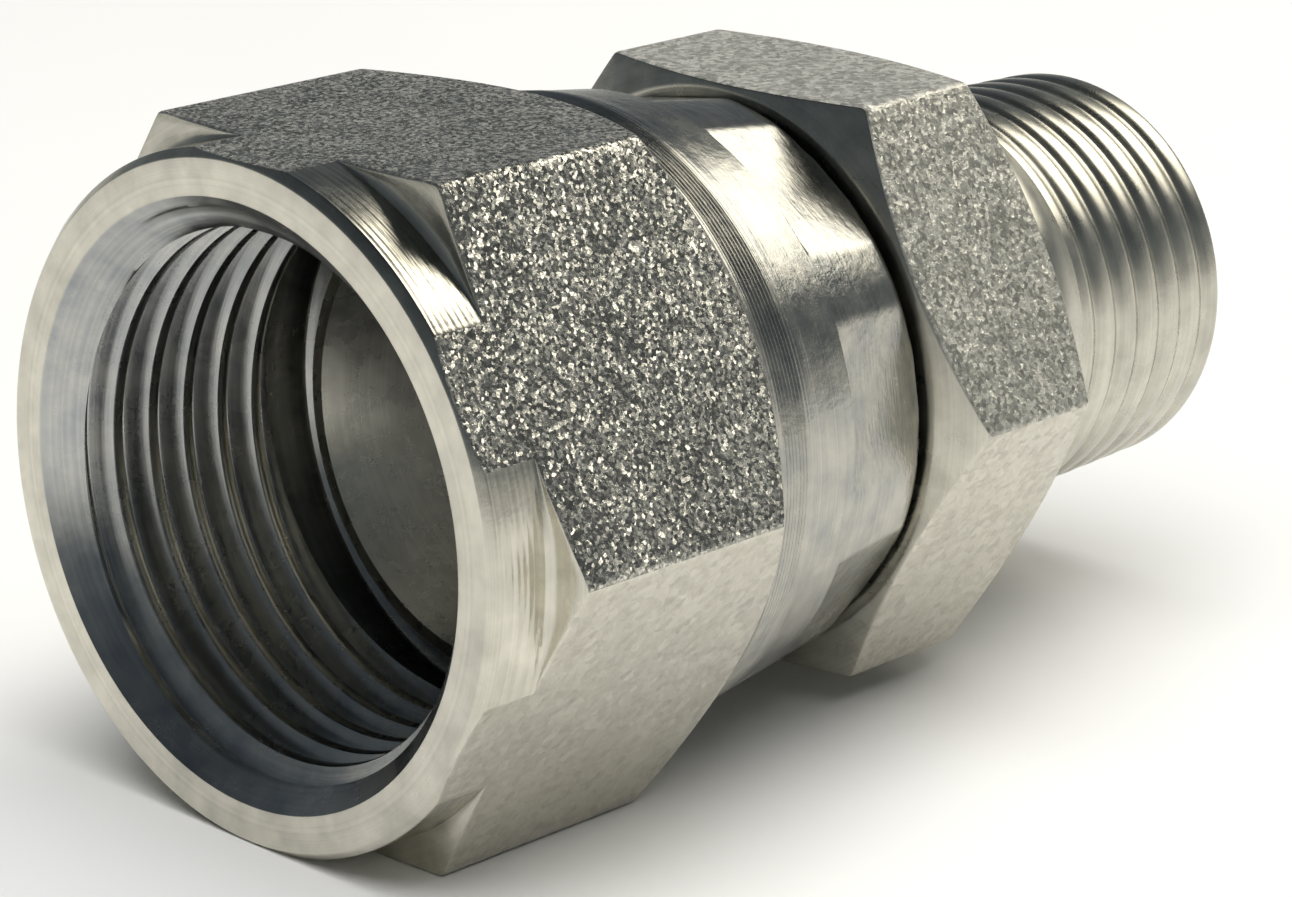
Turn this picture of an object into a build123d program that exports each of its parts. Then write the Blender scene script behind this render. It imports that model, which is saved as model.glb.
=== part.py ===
from build123d import *
from math import cos, radians, tan
import os

# A straight swivel adapter for hydraulic lines, lying on a table. The swivel nut
# has a straight internal thread and turns freely on the adapter body, whose nose
# seals inside the nut and whose other end carries a tapered pipe thread.
# All sizes are millimetres. Lengths run along X from the mouth of the nut.

# Swivel nut: hexagonal bar, 1 1/4 in across the flats, and its thread, 1 1/16-12
nut_flats = 31.75
nut_hexagon_length = 18.2  # mouth to the back of the rear cone
nut_chamfer_angle = 44  # cones that trim the corners, from the face plane
face_inset = 0.12  # outer edge of the mouth face inside the flats
band_rise = 0.27  # turned band behind the face, outside the flats, seen at the corners
band_end = 1.45
nut_wall = 2.385  # flats to the roots of the thread
thread_depth = 1.14
thread_length = 13.1  # mouth to the undercut
lead_in_rise = 0.55  # inner edge of the mouth face outside the thread
undercut_rise = 0.11  # undercut outside the thread
undercut_overlap = 1.2  # undercut past the nose face

# Tail of the nut, crimped behind the flange of the body
tail_step = 0.18  # start of the tail inside the flats
tail_wall = 2.6  # round the flange
tail_bend_rise = 0.4  # where the tail starts to close in, outside the pressed flats
tail_bend_length = 2.0  # from there to the pressed flats
crimp_wall = 2.7  # at the crimped end
crimp_edge = 0.5
jaw_count = 8
jaw_length = 5.8  # pressed flats, to the end of the tail
jaw_setback = 0.2  # their front edge behind the shoulder inside
jaw_half_angle = 16.5  # half of the angle that one flat spans
first_jaw_angle = 35.5  # middle of the first one, from the top of the hexagon
jaw_lean = 0.35  # lean of the step at the front of a flat

# Adapter body: hexagonal bar, 1 1/8 in across the flats
body_flats = 28.575
body_hexagon_length = 9.9
body_chamfer_angle = 27.5
hexagon_inset = 0.29  # faces of the hexagon inside the flats
nose_setback = 1.6  # nose face behind the end of the thread
nose_inset = 0.35  # nose inside the crests of the thread
nose_edge = 0.35
flange_length = 9.2  # nose face to the back of the flange
flange_depth = 1.1  # flange outside the neck
seat_rim = 1.0  # flat ring round the conical seat
seat_angle = 37  # half of the seat's cone angle
bore_radius = 7.1
bore_edge = 0.4

# Tapered pipe thread, 1/2-14, drawn at its crests, and the shank that it runs out on
pipe_end_radius = 10.36
pipe_taper = 1 / 32  # change of radius along the thread
pipe_length = 12.1
pipe_edge = 0.6
shank_rise = 0.6  # outside the large end of the thread
shank_length = 3.8
runout_length = 1.6

# Clearances between nut and body
nose_clearance = 0.25
neck_clearance = 0.4
end_play = 0.3
tail_gap = 0.4  # crimped end to the body hexagon

# Stations along the axis
nose_face = thread_length + nose_setback
undercut_end = nose_face + undercut_overlap
flange_back = nose_face + flange_length
crimp_shoulder = flange_back + end_play
jaw_start = crimp_shoulder + jaw_setback
tail_bend = jaw_start - tail_bend_length
nut_length = jaw_start + jaw_length
hexagon_front = nut_length + tail_gap
hexagon_back = hexagon_front + body_hexagon_length
pipe_start = hexagon_back + shank_length + runout_length
overall_length = pipe_start + pipe_length

# Radii of the pieces that fit each other
thread_major_radius = nut_flats / 2 - nut_wall
thread_minor_radius = thread_major_radius - thread_depth
nose_radius = thread_minor_radius - nose_inset
neck_radius = nose_radius - flange_depth
seat_radius = nose_radius - seat_rim
tail_bore = nose_radius + nose_clearance
crimp_bore = neck_radius + neck_clearance

# The origin is on the table, under the middle of the length
axis_height = nut_flats / 2
mouth = (-overall_length / 2, 0, axis_height)
lengthwise = Plane(origin=mouth, x_dir=(1, 0, 0), z_dir=(0, -1, 0))
across = Plane(origin=mouth, x_dir=(0, 1, 0), z_dir=(1, 0, 0))
centreline = Axis(mouth, (1, 0, 0))
corner_share = 1 / cos(radians(30))  # corner radius of a hexagon over half its flats


# Swivel nut
face_radius = nut_flats / 2 - face_inset
band_radius = nut_flats / 2 + band_rise
tail_radius = nut_flats / 2 - tail_step
nut_reach = nut_flats / 2 * corner_share + 1  # past the corners
nut_cone = tan(radians(nut_chamfer_angle))
lead_in_radius = thread_major_radius + lead_in_rise
undercut_radius = thread_major_radius + undercut_rise
jaw_radius = tail_bore + tail_wall  # tail between the flats, at their front
bend_radius = jaw_radius + tail_bend_rise
bend_slope = (tail_radius - bend_radius) / (tail_bend - nut_hexagon_length)
end_radius = crimp_bore + crimp_wall  # and at the end
end_slope = (jaw_radius - end_radius) / jaw_length
jaw_share = cos(radians(jaw_half_angle))

with BuildPart() as swivel_nut:
    # hexagonal bar
    with BuildSketch(across):
        RegularPolygon(radius=nut_flats / 2, side_count=6, major_radius=False)
    extrude(amount=nut_length)

    # outside as turned: face, band, corner cones, fine-turned tail and its crimped taper
    with BuildSketch(lengthwise):
        with BuildLine():
            Polyline(
                (0, 0),
                (0, face_radius),
                (band_radius - face_radius, band_radius),
                (band_end, band_radius),
                (band_end + (nut_reach - band_radius) * nut_cone, nut_reach),
                (nut_hexagon_length - (nut_reach - tail_radius) * nut_cone, nut_reach),
                (nut_hexagon_length, tail_radius),
                (tail_bend, bend_radius),
            )
            TangentArc(
                (tail_bend, bend_radius),
                (jaw_start, jaw_radius),
                tangent=(1, -bend_slope),
            )
            Polyline(
                (jaw_start, jaw_radius),
                (nut_length - crimp_edge, end_radius + end_slope * crimp_edge),
                (nut_length, end_radius - crimp_edge),
                (nut_length, 0),
                (0, 0),
            )
        make_face()
    revolve(axis=centreline, mode=Mode.INTERSECT)

    # inside: lead-in, thread bore, undercut, room for the nose, crimp behind its flange
    with BuildSketch(lengthwise):
        with BuildLine():
            Polyline(
                (0, 0),
                (0, lead_in_radius),
                (lead_in_radius - thread_minor_radius, thread_minor_radius),
                (thread_length, thread_minor_radius),
                (thread_length, undercut_radius),
                (undercut_end, undercut_radius),
                (undercut_end + undercut_radius - tail_bore, tail_bore),
                (crimp_shoulder, tail_bore),
                (crimp_shoulder + tail_bore - crimp_bore, crimp_bore),
                (nut_length, crimp_bore),
                (nut_length, 0),
                close=True,
            )
        make_face()
    revolve(axis=centreline, mode=Mode.SUBTRACT)

    # flats pressed into the tail by the crimping jaws
    for jaw in range(jaw_count):
        jaw_plane = lengthwise.rotated((first_jaw_angle + 360 / jaw_count * jaw, 0, 0))
        with BuildSketch(jaw_plane):
            with BuildLine():
                Polyline(
                    (jaw_start, jaw_radius * jaw_share),
                    (nut_length, end_radius * jaw_share),
                    (nut_length, nut_reach),
                    (jaw_start - jaw_lean, nut_reach),
                    close=True,
                )
            make_face()
        extrude(amount=nut_flats / 4, both=True, mode=Mode.SUBTRACT)

swivel_nut.part.label = "swivel_nut"


# Adapter body
hexagon_face_radius = body_flats / 2 - hexagon_inset
body_reach = body_flats / 2 * corner_share + 1  # past the corners
body_cone = (body_reach - hexagon_face_radius) * tan(radians(body_chamfer_angle))
pipe_start_radius = pipe_end_radius + pipe_length * pipe_taper
shank_radius = pipe_start_radius + shank_rise
seat_length = (seat_radius - bore_radius) / tan(radians(seat_angle))

with BuildPart() as adapter_body:
    # hexagonal bar
    with BuildSketch(across.offset(nose_face)):
        RegularPolygon(radius=body_flats / 2, side_count=6, major_radius=False)
    extrude(amount=overall_length - nose_face)

    # outside as turned: nose and its flange, neck, hexagon, shank, tapered end
    with BuildSketch(lengthwise):
        with BuildLine():
            Polyline(
                (nose_face, 0),
                (nose_face, nose_radius - nose_edge),
                (nose_face + nose_edge, nose_radius),
                (flange_back - nose_edge, nose_radius),
                (flange_back, nose_radius - nose_edge),
                (flange_back, neck_radius),
                (hexagon_front, neck_radius),
                (hexagon_front, hexagon_face_radius),
                (hexagon_front + body_cone, body_reach),
                (hexagon_back - body_cone, body_reach),
                (hexagon_back, hexagon_face_radius),
                (hexagon_back, shank_radius),
                (hexagon_back + shank_length, shank_radius),
                (pipe_start, pipe_start_radius),
                (overall_length - pipe_edge, pipe_end_radius + pipe_edge * pipe_taper),
                (overall_length, pipe_end_radius - pipe_edge),
                (overall_length, 0),
                close=True,
            )
        make_face()
    revolve(axis=centreline, mode=Mode.INTERSECT)

    # conical seat and bore right through
    with BuildSketch(lengthwise):
        with BuildLine():
            Polyline(
                (nose_face, 0),
                (nose_face, seat_radius),
                (nose_face + seat_length, bore_radius),
                (overall_length - bore_edge, bore_radius),
                (overall_length, bore_radius + bore_edge),
                (overall_length, 0),
                close=True,
            )
        make_face()
    revolve(axis=centreline, mode=Mode.SUBTRACT)

adapter_body.part.label = "adapter_body"


os.makedirs("parts", exist_ok=True)
export_step(swivel_nut.part, "parts/swivel_nut.step")
export_step(adapter_body.part, "parts/adapter_body.step")
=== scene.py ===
import math

import bpy
import numpy as np
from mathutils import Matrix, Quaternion, Vector


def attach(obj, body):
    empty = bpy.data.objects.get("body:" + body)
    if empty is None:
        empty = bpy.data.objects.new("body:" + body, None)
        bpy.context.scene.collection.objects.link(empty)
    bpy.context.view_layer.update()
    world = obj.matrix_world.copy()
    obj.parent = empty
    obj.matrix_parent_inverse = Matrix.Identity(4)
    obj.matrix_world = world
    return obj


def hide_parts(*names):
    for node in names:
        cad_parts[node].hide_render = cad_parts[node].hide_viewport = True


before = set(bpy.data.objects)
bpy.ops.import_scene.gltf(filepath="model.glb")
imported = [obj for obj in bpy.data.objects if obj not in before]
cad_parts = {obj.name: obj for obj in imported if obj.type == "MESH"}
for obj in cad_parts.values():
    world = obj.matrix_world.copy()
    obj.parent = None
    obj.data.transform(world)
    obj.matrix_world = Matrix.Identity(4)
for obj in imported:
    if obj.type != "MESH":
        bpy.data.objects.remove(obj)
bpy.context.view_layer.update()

# A swivel adapter: nut and body as dense meshes round the X axis, with their threads,
# crimp and turning marks, over the CAD nodes swivel_nut and adapter_body. The pipe
# thread is cut far shallower than a real one, because the photo has it out of focus.
# Lengths in the dictionaries are millimetres along X from the mouth of the nut,
# radii are from the axis, and angles are degrees from +Y towards +Z.

print("frame loaded")

mouthX = -29.0
axisZ = 15.875
wholeTurn = 2 * math.pi
hexagonTurn = math.pi / 3  # from one side of a hexagon to the next
roundShare = 0.45  # most of a stretch that the rounding at one end may take
sharpAngle = 32  # faces that meet at more than this show an edge
weld = 1e7  # points are the same when they agree to a ten-millionth of a metre
facePart = 0.003  # from a column to just inside the faces that start there, in radians
columnGap = 0.4  # share of an even step that even columns keep from the finer ones


def toMetres(x, radius, angle):
    # x and radius are rows by columns, angle one value a column
    px = x + mouthX
    py = radius * np.cos(angle)[None, :]
    pz = radius * np.sin(angle)[None, :] + axisZ
    return np.stack([px, py, pz], axis=-1) * 0.001


def wrapped(angle, step, centre):
    # angle from the nearest of the centres that lie step apart, in radians
    return (angle - centre + step / 2) % step - step / 2


def hexRadius(angle, flats, edge):
    # distance of a hexagonal bar's side from the axis, its corners rounded
    off = np.abs(wrapped(angle, hexagonTurn, math.pi / 2))
    side = flats / 2 / np.cos(off)
    centre = (flats / 2 - edge) / math.cos(math.pi / 6)
    along = centre * np.cos(math.pi / 6 - off)
    inside = np.maximum(edge ** 2 - centre ** 2 + along ** 2, 0)
    start = math.atan((flats / 2 - edge) * math.tan(math.pi / 6) / (flats / 2))
    return np.where(off > start, along + np.sqrt(inside), side)


def softStep(x, low, high):
    t = np.clip((x - low) / (high - low), 0, 1)
    return t * t * (3 - 2 * t)


def softCap(value, cap, soft):
    # the smaller of two numbers, with the change between them rounded
    gap = value - cap
    return cap + (gap - np.sqrt(gap ** 2 + soft ** 2)) / 2


def onSide(angle, middle):
    # which columns of faces lie on the side of a hexagon that has this middle
    faceAngle = angle[:-1] + facePart
    return np.abs(wrapped(faceAngle, wholeTurn, math.radians(middle))) < math.pi / 6


def columnsFor(specials, count):
    # angles once round the axis: an even set, and finer ones beside each special angle
    even = np.arange(count) * wholeTurn / count
    extra = []
    for centre, offsets in specials:
        for off in offsets:
            extra.append(math.radians(centre + off) % wholeTurn)
    extra = np.unique(np.round(np.array(extra), 7))
    near = np.abs(wrapped(even[:, None], wholeTurn, extra[None, :])).min(axis=1)
    kept = even[near > columnGap * wholeTurn / count]
    columns = np.sort(np.concatenate([kept, extra]))
    return np.append(columns, columns[0] + wholeTurn)


def rowsAlong(points, angle):
    # each point is a corner of a profile: x, radius, its rounding, the rows of the
    # stretch that ends there and that stretch's name; x and radius may vary by column
    px = np.array([np.broadcast_to(point[0], angle.shape) for point in points], float)
    pr = np.array([np.broadcast_to(point[1], angle.shape) for point in points], float)
    lengths = np.hypot(np.diff(px, axis=0), np.diff(pr, axis=0)) + 1e-9
    last = len(points) - 1
    xs, rs, tags = [px[0]], [pr[0]], [points[1][4]]
    startX, startR = px[0], pr[0]
    for i in range(1, last + 1):
        rounding, rows, stretch = points[i][2:]
        reach = np.minimum(rounding, roundShare * lengths[i - 1])
        if i < last:
            reach = np.minimum(reach, roundShare * lengths[i])
        dx = (px[i] - px[i - 1]) / lengths[i - 1]
        dr = (pr[i] - pr[i - 1]) / lengths[i - 1]
        endX, endR = px[i] - dx * reach, pr[i] - dr * reach
        for k in range(1, rows + 1):
            t = k / rows
            xs.append(startX + (endX - startX) * t)
            rs.append(startR + (endR - startR) * t)
            tags.append(stretch)
        if i == last:
            break
        ex = (px[i + 1] - px[i]) / lengths[i]
        er = (pr[i + 1] - pr[i]) / lengths[i]
        outX, outR = px[i] + ex * reach, pr[i] + er * reach
        if rounding > 0:
            for t in (0.33, 0.67, 1.0):
                a, b, c = (1 - t) ** 2, 2 * t * (1 - t), t * t
                xs.append(a * endX + b * px[i] + c * outX)
                rs.append(a * endR + b * pr[i] + c * outR)
                tags.append(points[i + 1][4] if t > 0.5 else stretch)
        startX, startR = outX, outR
    return np.array(xs), np.array(rs), np.array(tags)


def threadRows(start, end, pitch, profile, phase, angle, clip):
    # rows that follow a right-hand helix over one pitch's profile of offset and height;
    # clip turns a place and a height into a radius
    turns = int((end - start) / pitch) + 3
    offs = [off for off, height in profile]
    heights = [height for off, height in profile]
    helix = start + phase + pitch * angle / wholeTurn
    xs, rs = [], []
    for turn in range(-2, turns):
        for off in offs:
            x = np.clip(helix + turn * pitch + off, start, end)
            inTurn = (x - helix - offs[0]) % pitch + offs[0]
            height = np.interp(inTurn, offs + [offs[0] + pitch], heights + heights[:1])
            xs.append(x)
            rs.append(clip(x, height))
    return np.array(xs), np.array(rs)


def makePiece(name, grids, materials, bodyName, node):
    # each grid is rows by columns of points, with the material of its faces
    verts, faces, slots = [], [], []
    base = 0
    for grid, slotOf in grids:
        rows, cols = grid.shape[:2]
        verts.append(grid.reshape(-1, 3))
        i = np.arange(rows - 1)[:, None]
        j = np.arange(cols - 1)[None, :]
        a = base + i * cols + j
        quads = np.stack([a, a + cols, a + cols + 1, a + 1], axis=-1).reshape(-1, 4)
        faces.append(quads)
        slots.append(np.broadcast_to(slotOf, (rows - 1, cols - 1)).reshape(-1))
        base += rows * cols
    verts = np.concatenate(verts)
    faces = np.concatenate(faces)
    slots = np.concatenate(slots)

    # points that fall on each other become one
    keys = np.round(verts * weld).astype(np.int64)
    first, back = np.unique(keys, axis=0, return_index=True, return_inverse=True)[1:]
    faces = back.reshape(-1)[faces]
    verts = verts[first]
    polys, polySlots = [], []
    for face, slotIndex in zip(faces.tolist(), slots.tolist()):
        ring = [v for k, v in enumerate(face) if v != face[k - 1]]
        if len(set(ring)) == len(ring) and len(ring) > 2:
            polys.append(ring)
            polySlots.append(slotIndex)

    mesh = bpy.data.meshes.new(name)
    mesh.from_pydata(verts.tolist(), [], polys)
    for material in materials:
        mesh.materials.append(material)
    mesh.polygons.foreach_set("material_index", polySlots)
    mesh.validate()
    mesh.polygons.foreach_set("use_smooth", [True] * len(mesh.polygons))
    mesh.set_sharp_from_angle(angle=math.radians(sharpAngle))
    mesh.update()
    piece = bpy.data.objects.new(name, mesh)
    bpy.context.scene.collection.objects.link(piece)
    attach(piece, bodyName)
    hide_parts(node)
    print(name, len(mesh.polygons), "faces")


def newMaterial(name):
    material = bpy.data.materials.new(name)
    material.use_nodes = True
    nodes = material.node_tree.nodes
    nodes.clear()
    output = nodes.new("ShaderNodeOutputMaterial")
    shader = nodes.new("ShaderNodeBsdfPrincipled")
    material.node_tree.links.new(shader.outputs[0], output.inputs[0])
    return material, shader


class Wiring:
    # short ways to add and link the nodes of one material or world
    def __init__(self, material):
        self.nodes = material.node_tree.nodes
        self.links = material.node_tree.links

    def add(self, kind, inputs=(), **settings):
        node = self.nodes.new(kind)
        for key, value in settings.items():
            setattr(node, key, value)
        for key, value in dict(inputs).items():
            if isinstance(value, bpy.types.NodeSocket):
                self.links.new(value, node.inputs[key])
            else:
                node.inputs[key].default_value = value
        return node

    def vector(self, operation, a, b=(0, 0, 0), scale=1.0):
        inputs = {0: a, 1: b, 3: scale}
        return self.add("ShaderNodeVectorMath", inputs, operation=operation).outputs[0]

    def math(self, operation, a, b=0.0):
        return self.add("ShaderNodeMath", {0: a, 1: b}, operation=operation).outputs[0]

    def ramp(self, value, stops):
        node = self.add("ShaderNodeValToRGB", {0: value})
        elements = node.color_ramp.elements
        while len(elements) < len(stops):
            elements.new(0.5)
        for element, (place, colour) in zip(elements, stops):
            element.position = place
            element.color = (*colour, 1)
        return node.outputs[0]

    def blend(self, first, share, second, otherShare):
        return self.math(
            "ADD", self.math("MULTIPLY", first, share), self.math("MULTIPLY", second, otherShare)
        )

    def bump(self, height, strength, depth, normal=None):
        # depth is in millimetres
        inputs = {"Strength": strength, "Distance": depth / 1000, "Height": height}
        if normal is not None:
            inputs["Normal"] = normal
        return self.add("ShaderNodeBump", inputs).outputs[0]

    def between(self, value, low, high, atLow, atHigh):
        inputs = {0: value, 1: low, 2: high, 3: atLow, 4: atHigh}
        return self.add("ShaderNodeMapRange", inputs).outputs[0]

    def noise(self, vector, scale, detail=2.0, rough=0.5, distortion=0.0):
        return self.add(
            "ShaderNodeTexNoise",
            {
                "Vector": vector,
                "Scale": scale,
                "Detail": detail,
                "Roughness": rough,
                "Distortion": distortion,
            },
        ).outputs[0]

    def places(self):
        # millimetres from the middle of the axis, and the distance from the axis
        coords = self.add("ShaderNodeTexCoord").outputs["Object"]
        moved = self.vector("ADD", coords, (0, 0, -axisZ / 1000))
        scaled = self.vector("MULTIPLY", moved, (1000, 1000, 1000))
        split = self.add("ShaderNodeSeparateXYZ", {0: scaled})
        y, z = split.outputs[1], split.outputs[2]
        squares = self.math("ADD", self.math("MULTIPLY", y, y), self.math("MULTIPLY", z, z))
        radius = self.math("SQRT", squares)
        return scaled, split.outputs[0], radius


def wireShader(w, shader, colour, rough, normal, metallic):
    w.links.new(colour, shader.inputs["Base Color"])
    w.links.new(rough, shader.inputs["Roughness"])
    w.links.new(normal, shader.inputs["Normal"])
    shader.inputs["Metallic"].default_value = metallic


def turnedSteel(name, look):
    # turned and plated surface: rings round the axis, faint blotches, shallow pits
    material, shader = newMaterial(name)
    w = Wiring(material)
    place, x, radius = w.places()
    acrossRings = w.add("ShaderNodeCombineXYZ", {0: x, 1: radius, 2: 0.0}).outputs[0]
    drift = w.noise(place, 0.12)
    lines = w.noise(acrossRings, look["lineScale"], detail=3.0, rough=0.65)
    wide = w.noise(acrossRings, look["lineScale"] * 0.28)
    pits = w.noise(place, look["pitScale"], detail=3.0, rough=0.6)
    blotch = w.noise(place, 0.55, detail=4.0, rough=0.6)
    rings = w.bump(w.blend(lines, 0.6, wide, 0.4), look["lineStrength"], look["lineDepth"])
    normal = w.bump(pits, look["pitStrength"], look["pitDepth"], rings)
    tone = w.blend(blotch, 0.6, lines, 0.4)
    colour = w.ramp(tone, [(0.3, look["dark"]), (0.62, look["pale"])])
    worn = w.blend(blotch, 0.5, drift, 0.5)
    rough = w.between(worn, 0.3, 0.7, look["roughLow"], look["roughHigh"])
    wireShader(w, shader, colour, rough, normal, 1.0)
    return material


def grainySteel(name, look):
    # drawn bar under plate: crystal facets, each tilted its own way, so that they sparkle
    material, shader = newMaterial(name)
    w = Wiring(material)
    place = w.places()[0]
    grain = w.noise(place, look["grainScale"], detail=3.0, rough=0.62, distortion=0.6)
    warpNoise = {"Vector": place, "Scale": look["grainScale"] * 1.6}
    warp = w.add("ShaderNodeTexNoise", warpNoise).outputs[1]
    warped = w.vector("ADD", place, w.vector("SCALE", warp, scale=look["warp"]))
    facet = w.add(
        "ShaderNodeTexVoronoi",
        {"Vector": warped, "Scale": look["grainScale"], "Randomness": 1.0},
        feature="F1",
    ).outputs["Color"]
    blotch = w.noise(place, 0.4, detail=3.0, rough=0.6)
    tilt = w.vector("SCALE", w.vector("SUBTRACT", facet, (0.5, 0.5, 0.5)), scale=look["tilt"])
    plain = w.add("ShaderNodeNewGeometry").outputs["Normal"]
    tilted = w.vector("NORMALIZE", w.vector("ADD", plain, tilt))
    normal = w.bump(grain, look["strength"], look["depth"], tilted)
    facetTone = w.add("ShaderNodeSeparateXYZ", {0: facet}).outputs[0]
    tone = w.math("ADD", w.blend(grain, 0.5, facetTone, 0.25), w.math("MULTIPLY", blotch, 0.25))
    colour = w.ramp(tone, [(0.34, look["dark"]), (0.5, look["middle"]), (0.66, look["pale"])])
    rough = w.between(grain, 0.35, 0.65, look["roughHigh"], look["roughLow"])
    wireShader(w, shader, colour, rough, normal, look["metallic"])
    return material


# Swivel nut: hexagon with its threaded mouth, and the tail that is crimped on the body
nut = {
    "flats": 31.75,
    "edge": 0.45,  # rounding of the hexagon's corners
    "faceRadius": 15.755,
    "bandRadius": 16.145,
    "bandClear": 0.01,  # least that the band stands in from the sides where it is grooved
    "bandEnd": 3.25,
    "bandFillet": 0.5,
    "bandGroovePitch": 0.36,
    "bandGrooveDepth": 0.022,
    "shoulderAngle": 8,  # both cones are measured from the face plane
    "shoulderLeast": 0.02,
    "coneAngle": 44,
    "hexagonEnd": 18.2,
    "tailRadius": 15.695,
    "grooveDepth": 0.045,
    "groovePitch": 0.26,
    "grooveEnd": 21.2,
    "grooveFade": (0.15, 0.5, 0.9),  # start and end of the fade in, length of the fade out
    "bendStart": 22.4,
    "bendRadius": 15.25,
    "bendSoftness": 0.25,
    "bendRise": 0.02,
    "bendDrop": 0.01,
    "jawStart": 24.4,
    "jawStep": (-0.14, 0.08),  # front of the pressed flats, from their start
    "jawRows": (-0.25, 0.2),  # the same for the closer rows there
    "jawRadius": 14.85,
    "jawCount": 8,
    "jawHalfAngle": 16.5,
    "firstJaw": 125.5,
    "creaseSoftness": 0.035,
    "pressLeast": 0.006,
    "length": 30.2,
    "endRadius": 14.0,
    "endEdge": 0.5,
    "endSoftness": 0.12,
    "leadRadius": 14.04,
    "minorRadius": 12.35,
    "majorRadius": 13.49,
    "crestHalf": 0.265,
    "pitch": 25.4 / 12,
    "threadPhase": 1.157,
    "threadEnd": 13.1,
    "undercutRadius": 13.6,
    "undercutEnd": 15.9,
    "tailBore": 12.25,
    "crimpShoulder": 24.2,
    "crimpBore": 11.3,
    "columns": 240,
    "drawnSide": 210,
    "turned": {
        "lineScale": 5.0, "lineStrength": 0.5, "lineDepth": 0.03,
        "pitScale": 2.5, "pitStrength": 0.2, "pitDepth": 0.03,
        "dark": (0.44, 0.43, 0.37), "pale": (0.70, 0.67, 0.58),
        "roughLow": 0.14, "roughHigh": 0.3,
    },
    "grainy": {
        "grainScale": 6.2, "warp": 0.1, "tilt": 0.5, "strength": 0.6, "depth": 0.04,
        "dark": (0.19, 0.19, 0.17), "middle": (0.33, 0.325, 0.29), "pale": (0.76, 0.735, 0.65),
        "roughLow": 0.13, "roughHigh": 0.34, "metallic": 0.85,
    },
    "drawn": {
        "grainScale": 2.2, "warp": 0.2, "tilt": 0.12, "strength": 0.4, "depth": 0.04,
        "dark": (0.50, 0.48, 0.42), "middle": (0.60, 0.575, 0.50), "pale": (0.66, 0.635, 0.56),
        "roughLow": 0.3, "roughHigh": 0.42, "metallic": 1.0,
    },
    # inside of the nut: a darker, cooler copy of the turned steel, painted shade over the thread,
    # the undercut and the bores
    "thread": {
        "lineScale": 6.0, "lineStrength": 0.35, "lineDepth": 0.02,
        "pitScale": 2.0, "pitStrength": 0.0, "pitDepth": 0.02,
        "dark": (0.30, 0.32, 0.34), "pale": (0.54, 0.535, 0.50),
        "roughLow": 0.2, "roughHigh": 0.32,
    },
    "tail": {
        "lineScale": 7.0, "lineStrength": 0.6, "lineDepth": 0.03,
        "pitScale": 1.6, "pitStrength": 0.5, "pitDepth": 0.05,
        "dark": (0.26, 0.27, 0.27), "pale": (0.50, 0.485, 0.43),
        "roughLow": 0.16, "roughHigh": 0.32,
    },
}
nutSteels = [
    turnedSteel("turnedNut", nut["turned"]),
    grainySteel("grainyNut", nut["grainy"]),
    turnedSteel("threadNutPaintedShade", nut["thread"]),
    grainySteel("drawnNut", nut["drawn"]),
    turnedSteel("tailNut", nut["tail"]),
]
turned, grainy, thread, drawn, tailTurned = range(5)

# columns close together at the corners, where the band meets the sides and at creases
cornerOffsets = (-2.6, -1.6, -0.9, -0.3, 0.3, 0.9, 1.6, 2.6)
bandOffsets = (-11.2, -10.5, -9.8, 9.8, 10.5, 11.2)
creaseOffsets = (-1.6, -0.8, 0, 0.8, 1.6)
nutSpecials = [(60 * k, cornerOffsets) for k in range(6)]
nutSpecials += [(30 + 60 * k, bandOffsets) for k in range(6)]
jawTurn = 360 / nut["jawCount"]
for k in range(nut["jawCount"]):
    centre = nut["firstJaw"] + jawTurn * k
    for side in (-1, 1):
        nutSpecials.append((centre + side * nut["jawHalfAngle"], creaseOffsets))
nutAngle = columnsFor(nutSpecials, nut["columns"])
nutHex = hexRadius(nutAngle, nut["flats"], nut["edge"])

# outside: face, bevel, band and shoulder, sides, rear cone, tail
rearCone = math.tan(math.radians(nut["coneAngle"]))
shoulderCone = math.tan(math.radians(nut["shoulderAngle"]))
bandTop = np.minimum(nutHex, nut["bandRadius"])
bandStart = bandTop - nut["faceRadius"]
shoulderTop = nut["bandEnd"] + np.maximum(nutHex - nut["bandRadius"], 0) * shoulderCone
shoulderTop = np.maximum(shoulderTop, nut["bandEnd"] + nut["shoulderLeast"])
rearTop = nut["hexagonEnd"] - (nutHex - nut["tailRadius"]) * rearCone
rowsStart, rowsEnd = nut["jawRows"]
outer = [
    (0, nut["leadRadius"], 0, 0, "start"),
    (0, nut["faceRadius"], 0.07, 3, "face"),
    (bandStart, bandTop, 0.07, 1, "bevel"),
    (nut["bandEnd"], bandTop, nut["bandFillet"], 22, "band"),
    (shoulderTop, nutHex, 0.12, 3, "shoulder"),
    (rearTop, nutHex, 0.12, 4, "sides"),
    (nut["hexagonEnd"], nut["tailRadius"], 0.12, 3, "rearCone"),
    (nut["grooveEnd"], nut["bendRadius"], 0, 44, "grooves"),
    (nut["jawStart"] + rowsStart, nut["bendRadius"], 0, 10, "tail"),
    (nut["jawStart"] + rowsEnd, nut["bendRadius"], 0, 9, "tail"),
    (nut["length"], nut["endRadius"], 0, 20, "tail"),
]
x, r, tags = rowsAlong(outer, nutAngle)

# band: fine turning at the corners, where it stands clear of the sides
inBand = (tags == "band")[:, None] & (nutHex > nut["bandRadius"] + nut["bandClear"])[None, :]
ripple = np.cos(x * wholeTurn / nut["bandGroovePitch"]) - 1
r = np.where(inBand, r + ripple * 0.5 * nut["bandGrooveDepth"], r)

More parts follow.
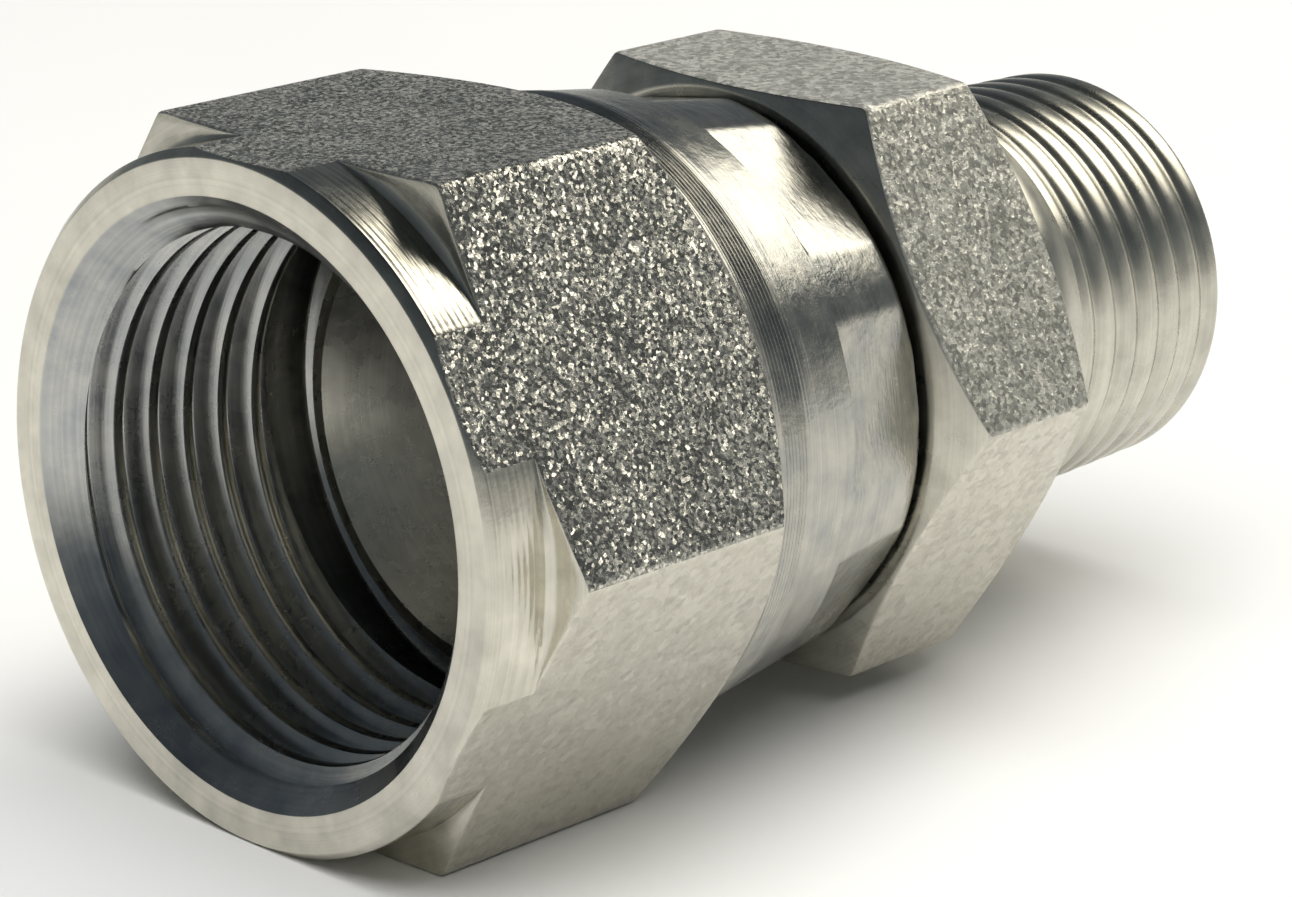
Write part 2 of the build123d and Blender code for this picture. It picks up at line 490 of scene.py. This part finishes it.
# fine turning behind the rear cone, fading at both ends
ripple = np.cos((x - nut["hexagonEnd"]) * wholeTurn / nut["groovePitch"]) - 1
fadeStart, fadeEnd, fadeOut = nut["grooveFade"]
fade = softStep(x, nut["hexagonEnd"] + fadeStart, nut["hexagonEnd"] + fadeEnd)
fade = fade * (1 - softStep(x, nut["grooveEnd"] - fadeOut, nut["grooveEnd"]))
grooved = r + ripple * 0.5 * nut["grooveDepth"] * fade
r = np.where((tags == "grooves")[:, None], grooved, r)

# tail: bends in to the crimped taper and ends in a rounded edge
fall = (nut["bendRadius"] - nut["tailRadius"]) / (nut["bendStart"] - nut["hexagonEnd"])
straight = nut["tailRadius"] + fall * (x - nut["hexagonEnd"])
taper = (nut["endRadius"] - nut["jawRadius"]) / (nut["length"] - nut["jawStart"])
bent = nut["jawRadius"] + taper * (x - nut["jawStart"])
tail = softCap(straight, bent + nut["bendRise"], nut["bendSoftness"]) - nut["bendDrop"]
tail = np.minimum(tail, straight)
endCap = nut["endRadius"] - nut["endEdge"] + (nut["length"] - x)
tail = softCap(tail, endCap, nut["endSoftness"])

# flats pressed into it by the crimping jaws, with stepped fronts
jawOff = wrapped(nutAngle, math.radians(jawTurn), math.radians(nut["firstJaw"]))
jawShare = math.cos(math.radians(nut["jawHalfAngle"]))
flat = bent * jawShare / np.cos(jawOff)[None, :]
press = np.maximum(tail - softCap(tail, flat, nut["creaseSoftness"]), 0)
press = np.maximum(press - nut["pressLeast"], 0)
stepStart, stepEnd = nut["jawStep"]
atFlat = softStep(x, nut["jawStart"] + stepStart, nut["jawStart"] + stepEnd)
r = np.where((tags == "tail")[:, None], tail - press * atFlat, r)

# the sides keep the bar's grain, one of them drawn smoother, and the rest is turned
slotOf = np.full((len(tags) - 1, len(nutAngle) - 1), turned)
rowTag = tags[1:]
underBand = nutHex[:-1] < nut["bandRadius"] + 0.002
slotOf[rowTag == "sides", :] = grainy
slotOf[np.ix_(np.isin(rowTag, ("band", "shoulder")), underBand)] = grainy
slotOf = np.where((slotOf == grainy) & onSide(nutAngle, nut["drawnSide"])[None, :], drawn, slotOf)
slotOf[np.isin(rowTag, ("grooves", "tail")), :] = tailTurned
nutOuter = (toMetres(x, r, nutAngle), slotOf)


def nutClip(x, radius):
    # the lead-in cone trims the crests at the mouth
    return np.maximum(radius, nut["leadRadius"] - x)


# internal thread, one pitch from a crest: flat crest, straight flanks, rounded root
crest = nut["crestHalf"]
minor, major = nut["minorRadius"], nut["majorRadius"]
nutThread = [
    (-crest - 0.03, minor + 0.045), (-crest + 0.06, minor), (0, minor),
    (crest - 0.06, minor), (crest + 0.03, minor + 0.045),
    (0.60, minor + 0.575), (0.885, major - 0.05), (0.96, major - 0.006),
    (1.058, major), (1.157, major - 0.006), (1.232, major - 0.05),
    (1.517, minor + 0.575),
]
threadX, threadR = threadRows(
    0, nut["threadEnd"], nut["pitch"], nutThread, nut["threadPhase"], nutAngle, nutClip
)

# from the thread to the end of the tail: undercut, room for the flange, crimp
undercutBack = nut["undercutEnd"] + nut["undercutRadius"] - nut["tailBore"]
crimpFront = nut["crimpShoulder"] + nut["tailBore"] - nut["crimpBore"]
inner = [
    (nut["threadEnd"], threadR[-1], 0, 0, "start"),
    (nut["threadEnd"], nut["undercutRadius"], 0.08, 2, "step"),
    (nut["undercutEnd"], nut["undercutRadius"], 0.1, 3, "undercut"),
    (undercutBack, nut["tailBore"], 0.1, 2, "undercutBack"),
    (nut["crimpShoulder"], nut["tailBore"], 0.1, 3, "tailBore"),
    (crimpFront, nut["crimpBore"], 0.1, 2, "shoulder"),
    (nut["length"], nut["crimpBore"], 0.1, 3, "crimpBore"),
    (nut["length"], r[-1], 0, 2, "end"),
]
backX, backR = rowsAlong(inner, nutAngle)[:2]
# the whole inside takes the darker thread steel, painted shade
nutInner = (toMetres(threadX, threadR, nutAngle)[::-1], thread)
nutBack = (toMetres(backX, backR, nutAngle)[::-1], thread)
makePiece("swivelNut", [nutOuter, nutInner, nutBack], nutSteels, "nut", "swivel_nut")


# Adapter body: nose and flange inside the nut, hexagon, shank and tapered pipe thread
body = {
    "flats": 28.575,
    "edge": 0.4,
    "front": 30.6,
    "back": 40.5,
    "faceRadius": 14.0,
    "coneAngle": 27.5,
    "nose": 14.7,
    "noseRadius": 12.0,
    "noseEdge": 0.35,
    "flangeBack": 23.9,
    "neckRadius": 10.9,
    "seatRadius": 11.0,
    "seatAngle": 37,
    "boreRadius": 7.1,
    "boreEdge": 0.4,
    "shankRadius": 11.338,
    "shankEnd": 44.3,
    "end": 58.0,
    "pipeRadius": 10.36,
    "pipeTaper": 1 / 32,
    "pipeEdge": 0.6,
    "pipePitch": 25.4 / 14,
    "pipePhase": 0.4,
    "threadStart": 45.9,
    "threadFade": (-0.2, 1.6),  # where the grooves reach their depth, from its start
    "crestDrop": 0.05,
    "grooveDepth": 0.2,  # a real thread of this pitch is about 1.45 deep
    "columns": 264,
    "drawnSide": 210,
    "topSide": 90,
    "turned": {
        "lineScale": 4.0, "lineStrength": 0.3, "lineDepth": 0.02,
        "pitScale": 2.2, "pitStrength": 0.15, "pitDepth": 0.02,
        "dark": (0.40, 0.39, 0.34), "pale": (0.62, 0.60, 0.52),
        "roughLow": 0.22, "roughHigh": 0.34,
    },
    "grainy": {
        "grainScale": 4.6, "warp": 0.15, "tilt": 0.3, "strength": 0.8, "depth": 0.06,
        "dark": (0.28, 0.275, 0.24), "middle": (0.44, 0.43, 0.375), "pale": (0.72, 0.70, 0.62),
        "roughLow": 0.26, "roughHigh": 0.46, "metallic": 0.7,
    },
    "drawn": {
        "grainScale": 2.4, "warp": 0.2, "tilt": 0.12, "strength": 0.35, "depth": 0.03,
        "dark": (0.50, 0.48, 0.42), "middle": (0.60, 0.575, 0.50), "pale": (0.66, 0.635, 0.56),
        "roughLow": 0.3, "roughHigh": 0.42, "metallic": 1.0,
    },
    # top side: a paler copy of the grain, painted light that makes the top read as lit; it is
    # half diffuse, so the top lamp also lights it
    "top": {
        "grainScale": 3.8, "warp": 0.15, "tilt": 0.45, "strength": 0.6, "depth": 0.05,
        "dark": (0.34, 0.33, 0.29), "middle": (0.50, 0.485, 0.43), "pale": (0.80, 0.775, 0.69),
        "roughLow": 0.3, "roughHigh": 0.5, "metallic": 0.5,
    },
}
bodySteels = [
    turnedSteel("turnedBody", body["turned"]),
    grainySteel("grainyBody", body["grainy"]),
    grainySteel("drawnBody", body["drawn"]),
    grainySteel("topBodyPaintedLight", body["top"]),
]
turned, grainy, drawn, top = range(4)

cornerOffsets = (-3.0, -1.8, -1.0, -0.35, 0.35, 1.0, 1.8, 3.0)
bodyAngle = columnsFor([(60 * k, cornerOffsets) for k in range(6)], body["columns"])
bodyHex = hexRadius(bodyAngle, body["flats"], body["edge"])
bodyCone = math.tan(math.radians(body["coneAngle"]))
frontTop = body["front"] + (bodyHex - body["faceRadius"]) * bodyCone
backTop = body["back"] - (bodyHex - body["faceRadius"]) * bodyCone
seatDepth = body["seatRadius"] - body["boreRadius"]
seatLength = seatDepth / math.tan(math.radians(body["seatAngle"]))


def pipeCrest(x):
    return body["pipeRadius"] + (body["end"] - x) * body["pipeTaper"]


# outside: nose and flange, neck, hexagon, shank and its run-out into the thread
noseTop = body["noseRadius"] - body["noseEdge"]
front = [
    (body["nose"], body["seatRadius"], 0, 0, "start"),
    (body["nose"], noseTop, 0.06, 2, "nose"),
    (body["nose"] + body["noseEdge"], body["noseRadius"], 0.06, 1, "nose"),
    (body["flangeBack"] - body["noseEdge"], body["noseRadius"], 0.1, 3, "flange"),
    (body["flangeBack"], noseTop, 0.1, 1, "flange"),
    (body["flangeBack"], body["neckRadius"], 0.1, 1, "flange"),
    (body["front"], body["neckRadius"], 0.15, 4, "neck"),
    (body["front"], body["faceRadius"], 0.12, 3, "frontFace"),
    (frontTop, bodyHex, 0.14, 4, "frontCone"),
    (backTop, bodyHex, 0.14, 7, "sides"),
    (body["back"], body["faceRadius"], 0.12, 4, "rearCone"),
    (body["back"], body["shankRadius"], 0.2, 3, "rearFace"),
    (body["shankEnd"], body["shankRadius"], 0.8, 4, "shank"),
    (body["threadStart"], pipeCrest(body["threadStart"]), 0, 4, "runOut"),
]
x, r, tags = rowsAlong(front, bodyAngle)
slotOf = np.full((len(tags) - 1, len(bodyAngle) - 1), turned)
slotOf[tags[1:] == "sides", :] = grainy
# the drawn side takes the smoother grain, and the top side the paler copy of it, painted light
for side, steel in ((body["drawnSide"], drawn), (body["topSide"], top)):
    slotOf = np.where((slotOf == grainy) & onSide(bodyAngle, side)[None, :], steel, slotOf)
bodyFront = (toMetres(x, r, bodyAngle), slotOf)

# pipe thread, one pitch from a root: rounded groove as a share of its depth, flat crest
pipeGroove = [
    (-0.62, 0.0), (-0.45, 0.14), (-0.28, 0.48), (-0.13, 0.86), (0.0, 1.0),
    (0.13, 0.86), (0.28, 0.48), (0.45, 0.14), (0.62, 0.0), (0.907, -0.04),
]


def pipeClip(x, depth):
    # the groove deepens over the first turns
    fadeStart, fadeEnd = body["threadFade"]
    cut = softStep(x, body["threadStart"] + fadeStart, body["threadStart"] + fadeEnd)
    return pipeCrest(x) - body["crestDrop"] * cut - body["grooveDepth"] * depth * cut


edgeStart = body["end"] - body["pipeEdge"]
pipeX, pipeR = threadRows(
    body["threadStart"], edgeStart, body["pipePitch"], pipeGroove, body["pipePhase"],
    bodyAngle, pipeClip,
)

# pipe end, bore and the conical seat
tip = [
    (edgeStart, pipeR[-1], 0, 0, "start"),
    (body["end"], body["pipeRadius"] - body["pipeEdge"], 0.12, 2, "pipeEdge"),
    (body["end"], body["boreRadius"] + body["boreEdge"], 0.08, 4, "pipeEnd"),
    (body["end"] - body["boreEdge"], body["boreRadius"], 0.1, 1, "boreEdge"),
    (body["nose"] + seatLength, body["boreRadius"], 0.3, 16, "bore"),
    (body["nose"], body["seatRadius"], 0, 16, "seat"),
]
tipX, tipR = rowsAlong(tip, bodyAngle)[:2]
bodyPipe = (toMetres(pipeX, pipeR, bodyAngle), turned)
bodyTip = (toMetres(tipX, tipR, bodyAngle), turned)
makePiece("adapterBody", [bodyFront, bodyPipe, bodyTip], bodySteels, "adapter", "adapter_body")


# Floor, lights and camera
studio = {
    "floorColour": (0.90, 0.89, 0.865),
    "floorShade": 0.985,  # darkest of its blotches
    "floorSize": 3.0,
    "floorDrop": 0.00002,  # below the part, so that the two never share a plane
    "windowPower": 1.1,
    "windowColour": (1.0, 0.955, 0.84),
    "windowSize": (0.34, 0.30),
    "windowAway": 0.55,
    "windowFrom": (0.74, -0.09, 0.66),
    "topPower": 8.5,
    "topColour": (1, 1, 1),
    "topSize": 0.9,
    "topPlace": (-0.1, -0.1, 0.8),
    "aim": (0, 0, 0.015),
    "sky": [  # from the horizon to straight above
        (0.5, (0.62, 0.61, 0.57)), (0.53, (0.52, 0.52, 0.49)), (0.59, (0.13, 0.15, 0.165)),
        (0.75, (0.09, 0.105, 0.12)), (1.0, (0.02, 0.025, 0.03)),
    ],
    "camera": (-0.147277, -0.139172, 0.078074),  # the camera was fitted to the photo
    "looks": (0.6839, 0.6606, -0.3097),
    "roll": 0.5,
    "lens": 121.35,
    "sensor": 36,
    "clip": (0.01, 10),
}
floorMesh = bpy.data.meshes.new("floor")
half = studio["floorSize"] / 2
floorCorners = [(-half, -half, 0), (half, -half, 0), (half, half, 0), (-half, half, 0)]
floorMesh.from_pydata(floorCorners, [], [(0, 1, 2, 3)])
floor = bpy.data.objects.new("floor", floorMesh)
floor.location.z = -studio["floorDrop"]
floorMaterial, floorShader = newMaterial("floor")
w = Wiring(floorMaterial)
floorCoords = w.add("ShaderNodeTexCoord").outputs["Object"]
floorTone = w.noise(floorCoords, 30.0, detail=3.0)
floorPale = studio["floorColour"]
floorDark = tuple(c * studio["floorShade"] for c in floorPale)
floorColour = w.ramp(floorTone, [(0.3, floorDark), (0.7, floorPale)])
w.links.new(floorColour, floorShader.inputs["Base Color"])
floorShader.inputs["Roughness"].default_value = 0.7
floorShader.inputs["Specular IOR Level"].default_value = 0.2
floorMesh.materials.append(floorMaterial)
bpy.context.scene.collection.objects.link(floor)


def addArea(name, power, colour, size, place, seen):
    # seen says whether the lamp shows in the metal as well as lighting it
    data = bpy.data.lights.new(name, "AREA")
    data.color = colour
    data.shape = "RECTANGLE"
    data.size, data.size_y = size
    data.energy = power
    lamp = bpy.data.objects.new(name, data)
    lamp.location = place
    lamp.rotation_mode = "QUATERNION"
    lamp.rotation_quaternion = (Vector(studio["aim"]) - lamp.location).to_track_quat("-Z", "Y")
    lamp.visible_glossy = seen
    bpy.context.scene.collection.objects.link(lamp)


windowPlace = Vector(studio["windowFrom"]).normalized() * studio["windowAway"]
addArea(
    "window", studio["windowPower"], studio["windowColour"], studio["windowSize"],
    windowPlace, True,
)
addArea(
    "top", studio["topPower"], studio["topColour"], (studio["topSize"], studio["topSize"]),
    Vector(studio["topPlace"]), False,
)

world = bpy.data.worlds.new("studio")
world.use_nodes = True
bpy.context.scene.world = world
w = Wiring(world)
w.nodes.clear()
direction = w.add("ShaderNodeTexCoord").outputs["Generated"]
height = w.add("ShaderNodeSeparateXYZ", {0: direction}).outputs[2]
sky = w.ramp(w.math("ADD", w.math("MULTIPLY", height, 0.5), 0.5), studio["sky"])
background = w.add("ShaderNodeBackground", {"Color": sky, "Strength": 1.0})
worldOutput = w.add("ShaderNodeOutputWorld")
w.links.new(background.outputs[0], worldOutput.inputs[0])

cameraData = bpy.data.cameras.new("camera")
cameraData.lens = studio["lens"]
cameraData.sensor_width = studio["sensor"]
cameraData.sensor_fit = "HORIZONTAL"
cameraData.clip_start, cameraData.clip_end = studio["clip"]
camera = bpy.data.objects.new("camera", cameraData)
camera.location = studio["camera"]
camera.rotation_mode = "QUATERNION"
looks = Vector(studio["looks"])
turn = Quaternion(looks, math.radians(-studio["roll"]))
camera.rotation_quaternion = turn @ looks.to_track_quat("-Z", "Y")
bpy.context.scene.collection.objects.link(camera)
bpy.context.scene.camera = camera
bpy.context.scene.view_settings.view_transform = "Standard"
print("studio ready")
